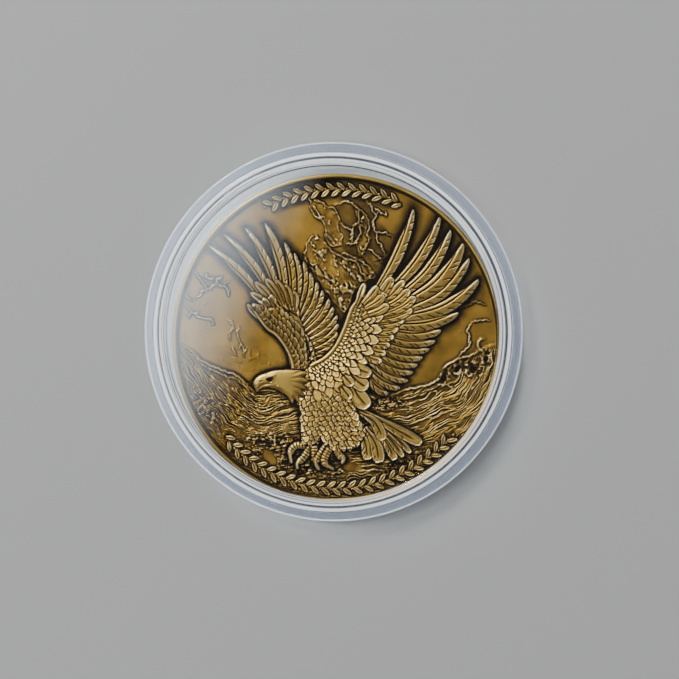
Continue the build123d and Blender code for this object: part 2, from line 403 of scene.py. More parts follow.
# Outlines of the head and of the smooth shapes under the small feathers.
HEAD = [
    (-9.9, -6.05), (-10.15, -5.3), (-9.7, -4.65), (-8.9, -4.25), (-7.6, -3.85), (-6.0, -3.72),
    (-4.6, -3.75), (-3.6, -4.1), (-3.95, -4.6), (-3.35, -5.1), (-3.95, -5.5), (-3.5, -6.1), (-4.2, -6.25),
    (-3.9, -7.0), (-4.6, -6.9), (-4.6, -7.7), (-5.15, -7.2), (-5.4, -7.8), (-5.9, -7.0), (-6.6, -6.45),
    (-7.6, -5.98), (-8.7, -5.85), (-9.35, -6.1), (-9.65, -6.45),
]
BODY = [
    (-3.7, -3.7), (-4.3, -5.6), (-4.6, -7.6), (-4.35, -9.2), (-4.3, -11.0), (-4.1, -12.6), (-3.2, -12.9),
    (-2.5, -12.5), (-2.0, -11.9), (-1.4, -12.7), (-0.2, -13.3), (1.4, -13.3), (2.7, -12.9), (3.2, -11.5),
    (2.9, -9.6), (2.3, -8.4), (2.6, -6.4), (2.4, -4.4), (0.8, -3.0), (-1.0, -2.6), (-2.4, -3.0),
]
NEAR_ARM = [
    (-2.6, -3.1), (-1.2, -2.2), (0.2, -0.3), (1.3, 2.2), (2.3, 4.1), (3.3, 4.6), (4.6, 3.6), (4.8, 1.4),
    (4.0, -1.0), (3.2, -3.0),
]
FAR_ARM = [
    (-10.3, 4.2), (-9.2, 2.4), (-7.4, 0.6), (-6.1, -1.4), (-5.4, -3.6), (-3.7, -3.6), (-3.6, -2.2),
    (-3.9, 0.4), (-4.6, 2.6), (-6.4, 3.6), (-8.6, 4.0),
]
# Toes, from the foot to the claw's tip.
TOES = [
    [(-3.37, -12.9), (-5.0, -12.95), (-5.65, -13.85), (-5.5, -15.1)],
    [(-3.2, -13.1), (-4.06, -14.4), (-4.8, -15.1), (-4.7, -15.8)],
    [(-2.8, -12.9), (-2.7, -14.1), (-2.95, -14.8)],
    [(-0.2, -13.1), (0.37, -14.1), (0.85, -14.5), (0.6, -15.1)],
    [(-1.1, -12.7), (-2.1, -14.1), (-2.55, -15.0), (-2.1, -15.9)],
    [(-0.7, -12.9), (-1.5, -14.5), (-1.3, -15.2), (-0.3, -15.8)],
]

# ------------------------------------------------------------- the background
# Edges of clouds, forked lightning, and the fainter lines below it.
CLOUD_LINES = [
    [
        (-0.3, 16.2), (0.8, 16.6), (1.8, 16.5), (2.6, 15.8), (3.5, 15.0), (3.9, 13.9), (3.7, 12.8),
        (4.0, 12.2), (3.6, 11.2),
    ],
    [(3.6, 11.2), (3.2, 10.6), (3.0, 10.0)],
    [(0.3, 14.3), (1.0, 13.6), (1.9, 13.2), (1.8, 12.6), (1.9, 12.0), (1.6, 11.0)],
    [(2.6, 15.6), (2.6, 14.2), (1.9, 13.6)],
    [(2.6, 13.9), (2.9, 13.0), (2.5, 12.0), (1.9, 11.5), (1.0, 11.7)],
    [(-0.8, 10.8), (1.1, 9.7), (2.8, 9.5), (3.9, 8.7), (4.6, 8.0)],
    [(1.1, 9.7), (2.5, 9.3), (3.1, 8.0), (3.9, 7.3)],
    [(16.4, 2.1), (15.8, 1.2), (16.05, 0.3), (15.95, -0.8), (14.9, -1.8), (14.8, -2.5)],
    [(18.6, 2.2), (17.6, 2.4), (16.4, 2.1)],
    [(13.6, 4.4), (15.4, 3.9), (16.6, 4.6), (18.2, 4.2)],
]
LIGHTNING = [
    [(3.5, 16.9), (4.2, 15.9), (4.7, 14.9), (4.35, 13.9), (4.9, 13.0), (6.1, 12.9), (7.0, 11.7)],
    [(4.9, 13.0), (4.85, 12.1), (5.5, 11.1), (5.85, 10.3), (6.3, 9.9)],
    [(3.8, 10.9), (4.8, 10.3), (5.3, 9.8), (5.75, 9.0)],
    [(4.6, 15.9), (5.3, 15.4), (6.2, 14.8)],
    [(-17.6, 8.3), (-16.6, 7.3), (-15.8, 6.1), (-14.8, 6.6), (-13.9, 6.5), (-12.9, 7.3)],
    [(-16.2, 8.2), (-15.6, 7.4), (-14.7, 7.5)],
    [(-15.8, 6.1), (-16.5, 5.6), (-17.1, 4.8)],
    [(-14.8, 6.6), (-14.5, 7.3), (-13.8, 7.6)],
    [(-13.9, 6.5), (-13.3, 5.9), (-13.2, 5.1)],
    [(-18.8, 6.4), (-18.3, 5.2), (-17.3, 4.5)],
    [(-18.6, 4.1), (-17.6, 3.3), (-16.7, 2.6), (-15.4, 2.5), (-15.1, 1.4)],
    [(-17.6, 3.3), (-18.3, 2.6)],
]
DRIPS = [
    [(-13.2, 2.6), (-12.7, 1.7), (-13.1, 0.8), (-13.0, -0.4)],
    [(-12.0, 1.6), (-12.2, 0.3), (-11.5, -0.9), (-11.2, -2.4)],
    [(-12.7, -0.9), (-12.3, -2.2)],
]
# Outlines of the rough clouds, of the dark sky among them, and its gaps: middle, radii and turn.
CLOUDS = [
    [
        (-3.2, 17.2), (-1.4, 16.3), (-0.2, 15.8), (0.4, 14.6), (0.2, 13.5), (0.7, 12.4), (0.4, 11.3),
        (-0.8, 11.4), (-1.4, 12.6), (-1.8, 14.1), (-3.2, 15.4),
    ],
    [
        (-3.2, 12.7), (-1.9, 12.1), (-0.9, 11.2), (0.2, 10.3), (1.0, 10.4), (2.2, 9.9), (3.1, 9.7),
        (3.9, 8.6), (4.7, 7.6), (3.5, 7.1), (2.6, 6.4), (1.7, 4.8), (0.9, 3.3), (-0.5, 4.7), (-1.8, 6.4),
        (-3.0, 8.2), (-3.9, 9.8),
    ],
    [
        (2.3, 15.9), (3.4, 15.1), (3.9, 13.9), (3.7, 12.8), (4.0, 12.0), (3.4, 11.0), (2.9, 10.2),
        (2.4, 10.7), (2.6, 12.0), (2.9, 13.2), (2.6, 14.3),
    ],
]
STORM = [
    (-0.2, 15.8), (0.8, 17.0), (2.6, 16.8), (4.6, 16.4), (5.4, 15.2), (6.2, 13.2), (7.0, 12.2), (6.6, 10.2),
    (5.4, 8.6), (4.4, 8.3), (3.2, 9.8), (1.2, 10.3), (0.4, 11.2), (0.7, 12.6), (0.3, 14.3),
]
GAPS = [((6.4, 14.8), 2.2, 1.5, -60), ((4.9, 9.6), 0.9, 0.7, -40)]
# The sea's crest on each side, from left to right, and a line along which its water flows.
LEFT_SEA = [
    (-19.4, -0.4), (-17.6, -1.6), (-16.4, -2.7), (-15.0, -3.35), (-13.4, -4.0), (-12.4, -4.3),
    (-11.3, -5.2), (-10.2, -6.3), (-8.4, -6.2), (-6.6, -6.4), (-4.0, -7.0), (-1.0, -9.0),
]
LEFT_FLOW = [
    (-21.0, 0.5), (-18.3, -2.9), (-15.0, -7.3), (-11.8, -10.2), (-8.5, -10.9), (-4.8, -10.3), (-2.0, -9.5),
]
RIGHT_SEA = [
    (-1.0, -9.0), (2.0, -7.0), (4.6, -7.0), (6.6, -6.7), (8.6, -6.0), (10.6, -5.6), (12.2, -4.9),
    (13.2, -3.2), (14.8, -2.3), (16.3, -1.9), (17.4, -1.2), (19.4, -0.5),
]
RIGHT_FLOW = [
    (4.0, -11.0), (8.0, -10.6), (10.6, -9.7), (13.8, -7.9), (15.7, -6.2), (17.4, -3.0), (18.0, 0.0),
]
# Churned water: middle, radii, turn, how strong and how soft it is.
CHURNED = [
    ((-4.5, -14.2), 8.0, 2.8, -14, 1.0, 0.35),
    ((-16.2, -8.0), 1.5, 3.2, 30, 0.8, 0.6),
    ((5.4, -7.8), 4.0, 1.2, 5, 1.0, 0.5),
    ((8.0, -15.2), 6.0, 1.2, 24, 1.0, 0.5),
]
# Hollows in the splashing crest: middle and radii, all turned alike.
SPLASH_TURN = 60
SPLASHES = [
    ((12.9, -4.6), 0.55, 0.4), ((14.6, -3.5), 0.6, 0.35), ((16.4, -3.6), 0.5, 0.6),
    ((18.0, -2.3), 0.5, 0.35),
]
CURL = (17.75, -0.6)  # middle of a small curled wave
# Calm patches: middle, radii and turn.
CALM = [((-8.2, -14.4), 1.5, 0.8, -55), ((1.7, -15.5), 1.5, 0.75, -5)]

# Branches beside the rim: first and last angle, number of leaf pairs, how dark the field is.
ORNAMENT_RADIUS = 18.1
ORNAMENT_ARCS = ((67.0, 116.0, 13, 0.75), (224.0, 318.0, 24, 0.4))


# ------------------------------------------------------- painting the obverse
def lay(canvas, feathers, level, **style):
    """Lay a row of feathers, last one first, so that each overlaps the next."""
    for root, tip, bow, width in reversed(feathers):
        canvas.feather(root, tip, width, level, bow=bow, **style)


def shade_sky(canvas):
    """Uneven field, with a gloom between the clouds and behind the branches."""
    x = canvas.x
    y = canvas.y
    speckled = fade(noise(x, y, 2.2, 13), 0.0, 0.5)
    canvas.height += 0.012 * rough(x, y, 1.6, 11) + 0.04 * speckled * fade(noise(x, y, 0.34, 12), 0.6, 0.95)
    picked, depth = canvas.depth_in(STORM, 0.3)
    gloom = fade(depth, -0.1, 0.5) * (0.6 + 0.2 * noise(x[picked], y[picked], 0.7, 31))
    ragged = 0.35 * noise(x[picked], y[picked], 0.8, 15)
    for centre, long_radius, short_radius, turn in GAPS:
        open_sky = blob(canvas, centre, long_radius, short_radius, turn)[picked]
        gloom *= 1 - fade(open_sky + ragged, 0.0, 0.5)
    canvas.pit[picked] = np.maximum(canvas.pit[picked], gloom)
    arc = fade(np.hypot(x, y), 16.4, 17.0)
    for first, last, _, dark in ORNAMENT_ARCS:
        reach = (last - first) / 2
        turned = np.abs((np.degrees(np.arctan2(y, x)) - first - reach + 180) % 360 - 180)
        shade = arc * fade(-turned, -reach - 3, -reach + 4)
        canvas.pit = np.maximum(canvas.pit, shade * (dark + 0.25 * noise(x, y, 0.8, 33)))


def paint_clouds(canvas):
    """Rough clouds with beaded edges, the edges of others, and lightning."""
    for number, outline in enumerate(CLOUDS):
        picked, depth = canvas.depth_in(outline, 0.4)
        x = canvas.x[picked]
        y = canvas.y[picked]
        u = 0.57 * x - 0.82 * y
        v = 0.82 * x + 0.57 * y
        grain = noise(u / 2.0, v, 0.3, 21 + number) + 0.6 * noise(u / 1.5, v, 0.2, 25 + number)
        billow = noise(x, y, 0.9, 35 + number)
        ragged = depth + 0.2 * noise(x, y, 0.5, 29 + number)
        inside = fade(ragged, -0.1, 0.15)
        canvas.pit[picked] *= 1 - inside
        lumps = fade(grain, 0.05, 0.5) * fade(billow, -0.9, -0.2)
        canvas.height[picked] += inside * (0.1 + 0.05 * billow + 0.24 * lumps)
        beaded = 0.5 + 0.5 * fade(noise(x, y, 0.3, 39), -0.3, 0.5)
        canvas.height[picked] += 0.16 * beaded * np.exp(-(((ragged - 0.1) / 0.1) ** 2))
        canvas.darken(picked, 0.3 * inside * fade(-grain, 0.3, 0.9))
    for line in CLOUD_LINES:
        canvas.ridge(line, 0.23, 0.26, kinks=0.12, shade=1.0)
    for line in LIGHTNING:
        canvas.ridge(line, 0.2, 0.36, kinks=0.15, shade=1.0)
    for line in DRIPS:
        canvas.ridge(line, 0.2, 0.16, kinks=0.2, shade=0.4)


def streaks(canvas, crest, flow, seed, spacing, dark):
    """Broken lines that part and meet along a flow line, in the water below a crest."""
    wet = canvas.below(crest)
    picked, along, beside, length = canvas.near(smooth_line(flow), 40)
    x = canvas.x[picked]
    y = canvas.y[picked]
    u = along * length / (8 * spacing)
    v = (beside + 0.7 * rough(x, y, 3.0, seed)) / spacing
    grain = noise(u, v, 1.0, seed + 9) + 0.45 * noise(2.1 * u, 1.9 * v, 1.0, seed + 13)
    swirl = 0.9 * v + 0.9 * noise(0.8 * u, 0.5 * v, 1.0, seed + 21)
    comb = fade(np.cos(2 * np.pi * swirl), 0.1, 0.9)
    comb *= fade(noise(1.3 * u, 0.7 * v, 1.0, seed + 23), -0.5, 0.2)
    line = np.maximum(np.clip(1 - 3 * np.abs(grain), 0, 1), comb)
    share = wet[picked]
    canvas.height[picked] += share * (0.22 * line + 0.05 * noise(x, y, 1.1, seed + 17))
    depth = dark * (0.75 + 0.25 * noise(x, y, 2.0, seed + 19))
    canvas.darken(picked, depth * share * fade(-line, -0.5, 0.0))


def foam(canvas, weight, size, seed):
    """Bright specks over dark hollows."""
    grain = noise(canvas.x, canvas.y, size, seed) + 0.5 * noise(canvas.x, canvas.y, size / 2, seed + 1)
    canvas.height += weight * 0.24 * fade(grain, 0.0, 0.6)
    canvas.stain = np.maximum(canvas.stain, weight * fade(-grain, -0.05, 0.35))


def blob(canvas, centre, long_radius, short_radius, turn):
    """How far inside an ellipse each point is: 1 at its middle, 0 at its edge."""
    dx = canvas.x - centre[0]
    dy = canvas.y - centre[1]
    c = math.cos(math.radians(turn))
    s = math.sin(math.radians(turn))
    return 1 - np.hypot((dx * c + dy * s) / long_radius, (dy * c - dx * s) / short_radius)


def paint_sea(canvas):
    """Waves on both sides, foam, splashes and calm patches."""
    streaks(canvas, LEFT_SEA, LEFT_FLOW, 41, 0.26, 0.52)
    streaks(canvas, RIGHT_SEA, RIGHT_FLOW, 61, 0.27, 0.7)
    for crest in (LEFT_SEA, RIGHT_SEA):
        canvas.ridge(crest, 0.34, 0.32, kinks=0.06, shade=0.9)
        canvas.ridge([(x + 0.2, y - 0.6) for x, y in crest], 0.2, 0.14, kinks=0.08)
    churn = np.zeros(canvas.x.size)
    for centre, long_radius, short_radius, turn, share, soft in CHURNED:
        patch = blob(canvas, centre, long_radius, short_radius, turn)
        churn = np.maximum(churn, share * fade(patch, 0, soft))
    foam(canvas, churn, 0.26, 71)
    spray = np.full(canvas.x.size, -9.0)
    for centre, long_radius, short_radius in SPLASHES:
        spray = np.maximum(spray, blob(canvas, centre, long_radius, short_radius, SPLASH_TURN))
    spray += 0.25 * noise(canvas.x, canvas.y, 0.5, 79)
    hollow = fade(spray, 0.0, 0.3)
    wet = fade(spray, -1.5, -0.8) * canvas.below([(x, y + 0.35) for x, y in RIGHT_SEA])
    canvas.height *= 1 - 0.8 * wet
    canvas.stain *= 1 - wet
    canvas.height -= 0.14 * hollow
    canvas.stain = np.maximum(canvas.stain, hollow)
    foam(canvas, wet * (1 - hollow), 0.34, 81)
    canvas.ridge([np.array(CURL) + polar(0.7, angle) for angle in range(60, 330, 30)], 0.36, 0.22)
    for centre, long_radius, short_radius, turn in CALM:
        still = fade(blob(canvas, centre, long_radius, short_radius, turn), 0, 0.3)
        canvas.height *= 1 - still
        canvas.stain *= 1 - still
        canvas.pit *= 1 - still


# Style of the small feathers that cover the body and the wings' arms.
SCALE = dict(blunt=1.4, crown=0.08, edge=0.05, tilt=0.24, shaft=0.0, pit=0.24, root_width=0.8)


def lay_scales(canvas, edge, aside, rows, size, level, seed, lean=0, slender=1.6):
    """Rows of small feathers beside an edge line, from the outermost row in.

    aside is the way from the edge to the rows at its start and end, and lean how far
    the feathers are turned from that; rows are distances from the edge; size is the
    first and last row's width; slender is a feather's length over its width.
    """
    random = np.random.default_rng(seed)
    line = smooth_line(edge)
    travelled = travel(line)
    for number, row in reversed(list(enumerate(rows))):
        width = size[0] + (size[1] - size[0]) * number / (len(rows) - 1)
        for place in np.arange(0.5 * width * (number % 2), travelled[-1], width * 0.8):
            v = place / travelled[-1]
            angle = aside[0] + (aside[1] - aside[0]) * v
            way = polar(1, angle + lean + random.uniform(-14, 14))
            start = np.array([np.interp(place, travelled, side) for side in line.T])
            root = start + polar(row, angle) - 0.7 * width * way + random.uniform(-0.07, 0.07, 2)
            wide = width * random.uniform(0.8, 1.2)
            lift = random.uniform(-0.03, 0.04)
            canvas.feather(root, root + way * width * slender, wide, level + lift, **SCALE)


def paint_far_wing(canvas):
    """The wing behind the head: narrow feathers spread to the upper left."""
    style = dict(crown=0.09, edge=0.02, tilt=0.03, shaft=0.15)
    lay(canvas, FAR_SECONDARIES, 0.2, lead=0.3, notches=4, pit=0.8, blunt=2.4, widest=0.7, **style)
    lay(canvas, FAR_PRIMARIES, 0.3, lead=0.3, notches=6, pit=1.1, blunt=2.2, widest=0.6, **style)
    lay(canvas, FAR_COVERTS, 0.34, crown=0.16, edge=0.04, tilt=0.1, shaft=0.12, pit=0.35, blunt=2.2)
    canvas.mound(FAR_ARM, 0.3, 0.14, 0.6)
    ground = canvas.height.copy()
    edge = [(-5.3, -3.6), (-5.5, -2.4), (-6.2, -0.9), (-7.3, 0.5), (-8.5, 1.4), (-10.0, 3.4)]
    rows = [0.45, 1.05, 1.7, 2.4]
    lay_scales(canvas, edge, (5, 45), rows, (0.7, 0.95), ground, 5, lean=62, slender=1.7)
    canvas.limb(edge, 0.4, 0.44, 0.14, pit=0.1, polish=0.6)


def paint_near_wing(canvas):
    """The raised wing: broad blades to the upper right, rows of coverts at their roots."""
    style = dict(crown=0.07, edge=0.0, tilt=0.03, shaft=0.17)
    lay(canvas, NEAR_SECONDARIES, 0.3, lead=0.3, notches=5, pit=0.9, blunt=2.4, widest=0.7, **style)
    lay(canvas, NEAR_PRIMARIES, 0.34, lead=0.28, notches=7, pit=1.5, blunt=2.2, widest=0.55, **style)
    style = dict(crown=0.12, edge=0.06, tilt=0.06, shaft=0.1)
    lay(canvas, NEAR_COVERTS, 0.44, notches=3, pit=0.35, blunt=2.4, **style)
    canvas.mound(NEAR_ARM, 0.46, 0.1, 0.7)


def paint_shoulder(canvas):
    """Rows of small feathers from the wing's leading edge in, and its smooth edge."""
    lay(canvas, SCAPULARS[2:], 0.5, crown=0.06, edge=0.1, tilt=0.1, shaft=0.12, pit=0.3, blunt=2.4)
    edge = [(-3.2, -3.3), (-1.3, -2.2), (0.0, -0.7), (1.0, 1.4), (1.8, 3.6), (2.4, 4.6)]
    rows = [0.35, 0.7, 1.1, 1.55, 2.1, 2.7, 3.5]
    lay_scales(canvas, edge, (-75, 30), rows, (0.48, 1.05), 0.45, 6)
    lay(canvas, NEAR_WRIST, 0.56, crown=0.14, edge=0.05, tilt=0.05, shaft=0.08, pit=0.3, blunt=2.4)
    lay(canvas, SCAPULARS[:2], 0.55, crown=0.06, edge=0.1, tilt=0.1, shaft=0.1, pit=0.3, blunt=2.2)
    canvas.limb(edge, 0.46, 0.56, 0.12, pit=0.1, polish=0.5)


def paint_body(canvas):
    """Breast and thighs, in rows of small overlapping feathers."""
    here, depth = canvas.mound(BODY, 0.36, 0.2, 1.1, pit=0.8)
    ground = canvas.height.copy()
    random = np.random.default_rng(7)
    inside = np.zeros(canvas.x.size)
    inside[here] = depth
    for number, y in enumerate(np.arange(-13.1, -3.0, 0.6)):
        for x in np.arange(-4.8 + 0.32 * (number % 2), 3.4, 0.64):
            spot = np.array([x, y]) + random.uniform(-0.15, 0.15, 2)
            nearest = ((canvas.x - spot[0]) ** 2 + (canvas.y - spot[1]) ** 2).argmin()
            if inside[nearest] == 0:
                continue
            way = polar(1, -84 + 8 * x + random.uniform(-26, 26))
            width = random.uniform(0.7, 0.95)
            lift = random.uniform(-0.03, 0.04)
            canvas.feather(spot - 0.75 * way, spot + 0.5 * way, width, ground + lift, **SCALE)


def paint_tail(canvas):
    """Tail feathers with rounded ends, fanned below the wing."""
    style = dict(crown=0.06, edge=0.12, tilt=0.06, shaft=0.12, pit=0.7, blunt=2.8, notches=3)
    lay(canvas, TAIL, 0.28, root_width=0.4, widest=0.75, **style)


def paint_feet(canvas):
    """Ribbed toes with hooked claws."""
    for toe in TOES:
        canvas.limb(toe, 0.85, 0.34, 0.26, ribs=0.36, claw=0.62)


def paint_head(canvas):
    """Smooth head with ragged hackles, a hooked beak, an eye and a nostril."""
    here, _ = canvas.mound(HEAD, 0.5, 0.17, 0.3, pit=0.5, cut=0.12, polish=0.5)
    x = canvas.x[here]
    y = canvas.y[here]
    turn = np.degrees(np.arctan2(y + 4.9, x + 7.2))
    streak = fade(x, -5.9, -4.2) * (0.5 + 0.5 * np.cos((turn + 8) * 2 * np.pi / 14)) ** 2
    canvas.height[here] -= 0.07 * streak
    canvas.stain[here] = 0.4 * streak
    gape = smooth_line([(-9.6, -6.0), (-8.9, -5.55), (-7.9, -5.5), (-7.1, -5.65)])
    near_gape, along, beside, _ = canvas.near(gape, 0.3)
    on_head = canvas.figure[near_gape] & (along > 0) & (along < 1)
    canvas.height[near_gape] -= 0.05 * on_head * np.exp(-((beside / 0.08) ** 2))
    cheek = [(-8.9, -5.75), (-7.9, -5.55), (-7.1, -5.7), (-6.3, -6.3), (-5.4, -7.3)]
    brow = [(-8.9, -4.5), (-8.1, -4.45), (-7.3, -4.4)]
    canvas.ridge(cheek, 0.3, 0.07, over_figure=True)
    canvas.ridge(brow, 0.3, 0.06, over_figure=True)
    eye = [(-8.58, -4.86), (-8.15, -4.66), (-7.68, -4.54), (-7.72, -4.92), (-8.06, -5.22)]
    nostril = [(-9.35, -5.1), (-9.2, -4.98), (-9.1, -5.1), (-9.22, -5.2)]
    for hole, reach in ((eye, 0.2), (nostril, 0.1)):
        picked, deep = canvas.depth_in(hole, reach)
        canvas.height[picked] -= 0.16 * fade(deep, -0.03, 0.1)
        canvas.height[picked] += 0.035 * np.exp(-(((deep + 0.09) / 0.06) ** 2))
        canvas.darken(picked, fade(deep, -0.05, 0.05))


def paint_ornament(canvas):
    """A laurel branch with berries in each of the two arcs beside the rim."""
    style = dict(edge=0.03, pit=0.35, shaft=0.06, blunt=1.5, polish=0.8)
    for first, last, count, _ in ORNAMENT_ARCS:
        stem = [polar(ORNAMENT_RADIUS, angle) for angle in np.linspace(first - 1, last + 1, 12)]
        canvas.limb(stem, 0.2, 0.2, 0.14, pit=0.3)
        step = (last - first) / (count - 1)
        for k in range(count):
            for side in (1, -1):
                angle = first + (k + 0.25 * side) * step
                middle = polar(ORNAMENT_RADIUS + 0.44 * side, angle)
                way = polar(0.62, angle + 90 - 38 * side)
                canvas.feather(middle - way, middle + way, 0.56, 0.28, **style)
            canvas.bead(polar(ORNAMENT_RADIUS + 0.1, first + (k + 0.7) * step), 0.17, 0.42)


def paint_obverse(canvas):
    """The whole picture, from back to front."""
    shade_sky(canvas)
    paint_clouds(canvas)
    paint_sea(canvas)
    paint_ornament(canvas)
    paint_tail(canvas)
    paint_far_wing(canvas)
    paint_near_wing(canvas)
    paint_feet(canvas)
    paint_body(canvas)
    paint_shoulder(canvas)
    paint_head(canvas)


def paint_reverse(canvas):
    """A laurel wreath round a plain field, with a ring of beads at the rim."""
    style = dict(crown=0.12, edge=0.03, shaft=0.08, pit=0.5, blunt=1.5, root_width=0.1, widest=0.5)
    for side in (1, -1):
        canvas.limb([polar(13.5, -90 + side * turn) for turn in range(4, 168, 8)], 0.4, 0.1, 0.16, pit=0.4)
        for turn in np.linspace(18, 158, 13):
            for lean, radius in ((-30, 12.4), (30, 14.6)):
                angle = -90 + side * (turn + (4 if lean > 0 else 0))
                way = polar(2.0, angle + side * (90 + lean))
                middle = polar(radius, angle)
                canvas.feather(middle - way, middle + way, 1.6, 0.2, **style)
            canvas.bead(polar(13.5, -90 + side * (turn + 8)), 0.3, 0.34)
    for angle in np.arange(0, 360, 4):
        canvas.bead(polar(18.2, angle), 0.36, 0.25)


# ------------------------------------------------------------- the coin's mesh
def disc_grid(count, radius):
    """A square grid of points spread evenly over a disc."""
    v, u = np.meshgrid(np.linspace(-1, 1, count), np.linspace(-1, 1, count), indexing="ij")
    return radius * u * np.sqrt(1 - v**2 / 2), radius * v * np.sqrt(1 - u**2 / 2)


def grid_faces(count, upward=True):
    """Quads of a square grid whose points are numbered row by row."""
    number = np.arange(count * count).reshape(count, count)
    quads = [number[:-1, :-1], number[:-1, 1:], number[1:, 1:], number[1:, :-1]]
    if not upward:
        quads.reverse()
    return np.stack(quads, -1).reshape(-1, 4)


def grid_rim(count):
    """Numbers of the grid's outer points, once round anticlockwise from its lower left."""
    number = np.arange(count * count).reshape(count, count)
    return np.concatenate([number[0, :-1], number[:-1, -1], number[-1, :0:-1], number[:0:-1, 0]])


def blur(values, cells):
    """Gaussian blur of a square grid of values."""
    reach = int(3 * cells)
    kernel = np.exp(-0.5 * (np.arange(-reach, reach + 1) / cells) ** 2)
    kernel /= kernel.sum()
    for _ in range(2):
        padded = np.pad(values, ((reach, reach), (0, 0)), mode="edge")
        values = sum(weight * padded[k:k + values.shape[0]] for k, weight in enumerate(kernel)).T
    return values


def patina(canvas):
    """How dark and how worn the finish is at each point of a painted face."""
    layers = (canvas.height, canvas.stain, canvas.pit, canvas.polish, ~canvas.figure)
    height, stain, pit, polish, field = (layer.reshape(canvas.shape) for layer in layers)
    pitch = 2 * FIELD_RADIUS / canvas.shape[0]
    close = blur(height, 0.16 / pitch)
    wide = blur(height, 0.6 / pitch)
    clean = (1 - fade(close - height, 0.008, 0.06)) * (1 - fade(wide - height, 0.02, 0.2))
    dark = 1 - clean * (1 - 0.95 * stain) * (1 - 0.98 * pit * field)
    raised = fade(height, 0.12, 0.35) * ~field
    edges = 0.6 * fade(height - close, 0.015, 0.09) + (0.4 - 0.34 * raised) * fade(height - wide, 0.0, 0.25)
    worn = 0.26 * raised + polish * edges
    return dark, np.clip(worn, 0, 1) * (1 - dark)


RINGS_UP = [  # radius and height of the rim's rings, from the obverse field outwards
    (FIELD_RADIUS + 0.01, coin_high.z - OBVERSE_DEPTH + 0.02),
    (FIELD_RADIUS + 0.1, coin_high.z - OBVERSE_DEPTH + 0.12),
    (FIELD_RADIUS + 0.22, coin_high.z - 0.2),
    (FIELD_RADIUS + 0.28, coin_high.z - 0.06),
    (FIELD_RADIUS + 0.36, coin_high.z),
    (COIN_RADIUS - 0.14, coin_high.z),
    (COIN_RADIUS - 0.05, coin_high.z - 0.04),
    (COIN_RADIUS, coin_high.z - 0.15),
]
RINGS_DOWN = [  # the same from the edge's middle to the reverse field
    (COIN_RADIUS, (coin_low.z + coin_high.z) / 2),
    (COIN_RADIUS, coin_low.z + 0.15),
    (COIN_RADIUS - 0.05, coin_low.z + 0.04),
    (COIN_RADIUS - 0.14, coin_low.z),
    (FIELD_RADIUS + 0.2, coin_low.z),
    (FIELD_RADIUS + 0.12, coin_low.z + 0.04),
    (FIELD_RADIUS + 0.06, coin_low.z + REVERSE_DEPTH - 0.06),
    (FIELD_RADIUS + 0.01, coin_low.z + REVERSE_DEPTH - 0.01),
]


def band(first, second):
    """Quads between two rings of equally many points."""
    return np.stack([first, second, np.roll(second, -1), np.roll(first, -1)], -1)


def coin_mesh():
    """One closed mesh: obverse, rim, edge, rim, reverse; with its patina."""
    obverse = Canvas(*disc_grid(OBVERSE_GRID, FIELD_RADIUS - 0.03))
    paint_obverse(obverse)
    reverse = Canvas(*disc_grid(REVERSE_GRID, FIELD_RADIUS - 0.03))
    paint_reverse(reverse)

    obverse_z = coin_high.z - OBVERSE_DEPTH + np.clip(obverse.height, -0.2, OBVERSE_DEPTH - 0.03)
    reverse_z = coin_low.z + REVERSE_DEPTH - np.clip(reverse.height, -0.1, REVERSE_DEPTH - 0.03)
    points = [np.stack([obverse.x, obverse.y, obverse_z], 1)]
    finish = [np.stack([side.ravel() for side in patina(obverse)], 1)]
    faces = [grid_faces(OBVERSE_GRID)]
    total = obverse.x.size

    ring = grid_rim(OBVERSE_GRID)
    angle = np.arctan2(obverse.y[ring], obverse.x[ring])
    loops = [ring]
    for rings, angles in ((RINGS_UP, angle), (RINGS_DOWN, angle[::2])):
        for radius, z in rings:
            x = radius * np.cos(angles)
            y = radius * np.sin(angles)
            points.append(np.stack([x, y, np.full(angles.size, z)], 1))
            on_face = abs(z - (coin_low.z + coin_high.z) / 2) > COIN_THICKNESS / 2 - 0.05
            on_inner_wall = not on_face and radius < FIELD_RADIUS + 0.3
            dark = 0.0 if on_face else 0.85 if on_inner_wall else 0.3
            finish.append(np.tile([dark, 0.5 - 0.5 * dark], (angles.size, 1)))
            loops.append(np.arange(total, total + angles.size))
            total += angles.size
    upper = loops[:len(RINGS_UP) + 1]
    lower = loops[len(RINGS_UP) + 1:]
    for stack in (upper, lower):
        for first, second in zip(stack, stack[1:]):
            faces.append(band(first, second))

    reverse_ring = grid_rim(REVERSE_GRID) + total
    points.append(np.stack([reverse.x, reverse.y, reverse_z], 1))
    finish.append(np.stack([side.ravel() for side in patina(reverse)], 1))
    faces.append(band(lower[-1], reverse_ring))
    faces.append(grid_faces(REVERSE_GRID, upward=False) + total)

    # The edge's two halves have twice as many points above as below.
    above = upper[-1]
    below = lower[0]
    ahead = np.roll(below, -1)
    joins = [
        np.stack([above[::2], below, above[1::2]], -1),
        np.stack([above[1::2], below, ahead], -1),
        np.stack([above[1::2], ahead, np.roll(above, -2)[::2]], -1),
    ]
    return np.concatenate(points), np.concatenate(finish), faces + joins


def mesh_object(name, points, faces):
    """A smooth-shaded object from points in metres and arrays of faces."""
    mesh = bpy.data.meshes.new(name)
    mesh.from_pydata(points.tolist(), [], [face for group in faces for face in group.tolist()])
    mesh.validate()
    mesh.shade_smooth()
    made = bpy.data.objects.new(name, mesh)
    bpy.context.scene.collection.objects.link(made)
    return made


# Places in the bake map: each disc's middle and radius, the strip's corner and size.
OBVERSE_SPOT = (0.34, 0.66, 0.33)
REVERSE_SPOT = (0.83, 0.17, 0.16)
EDGE_STRIP = (0.01, 0.02, 0.64, 0.28)


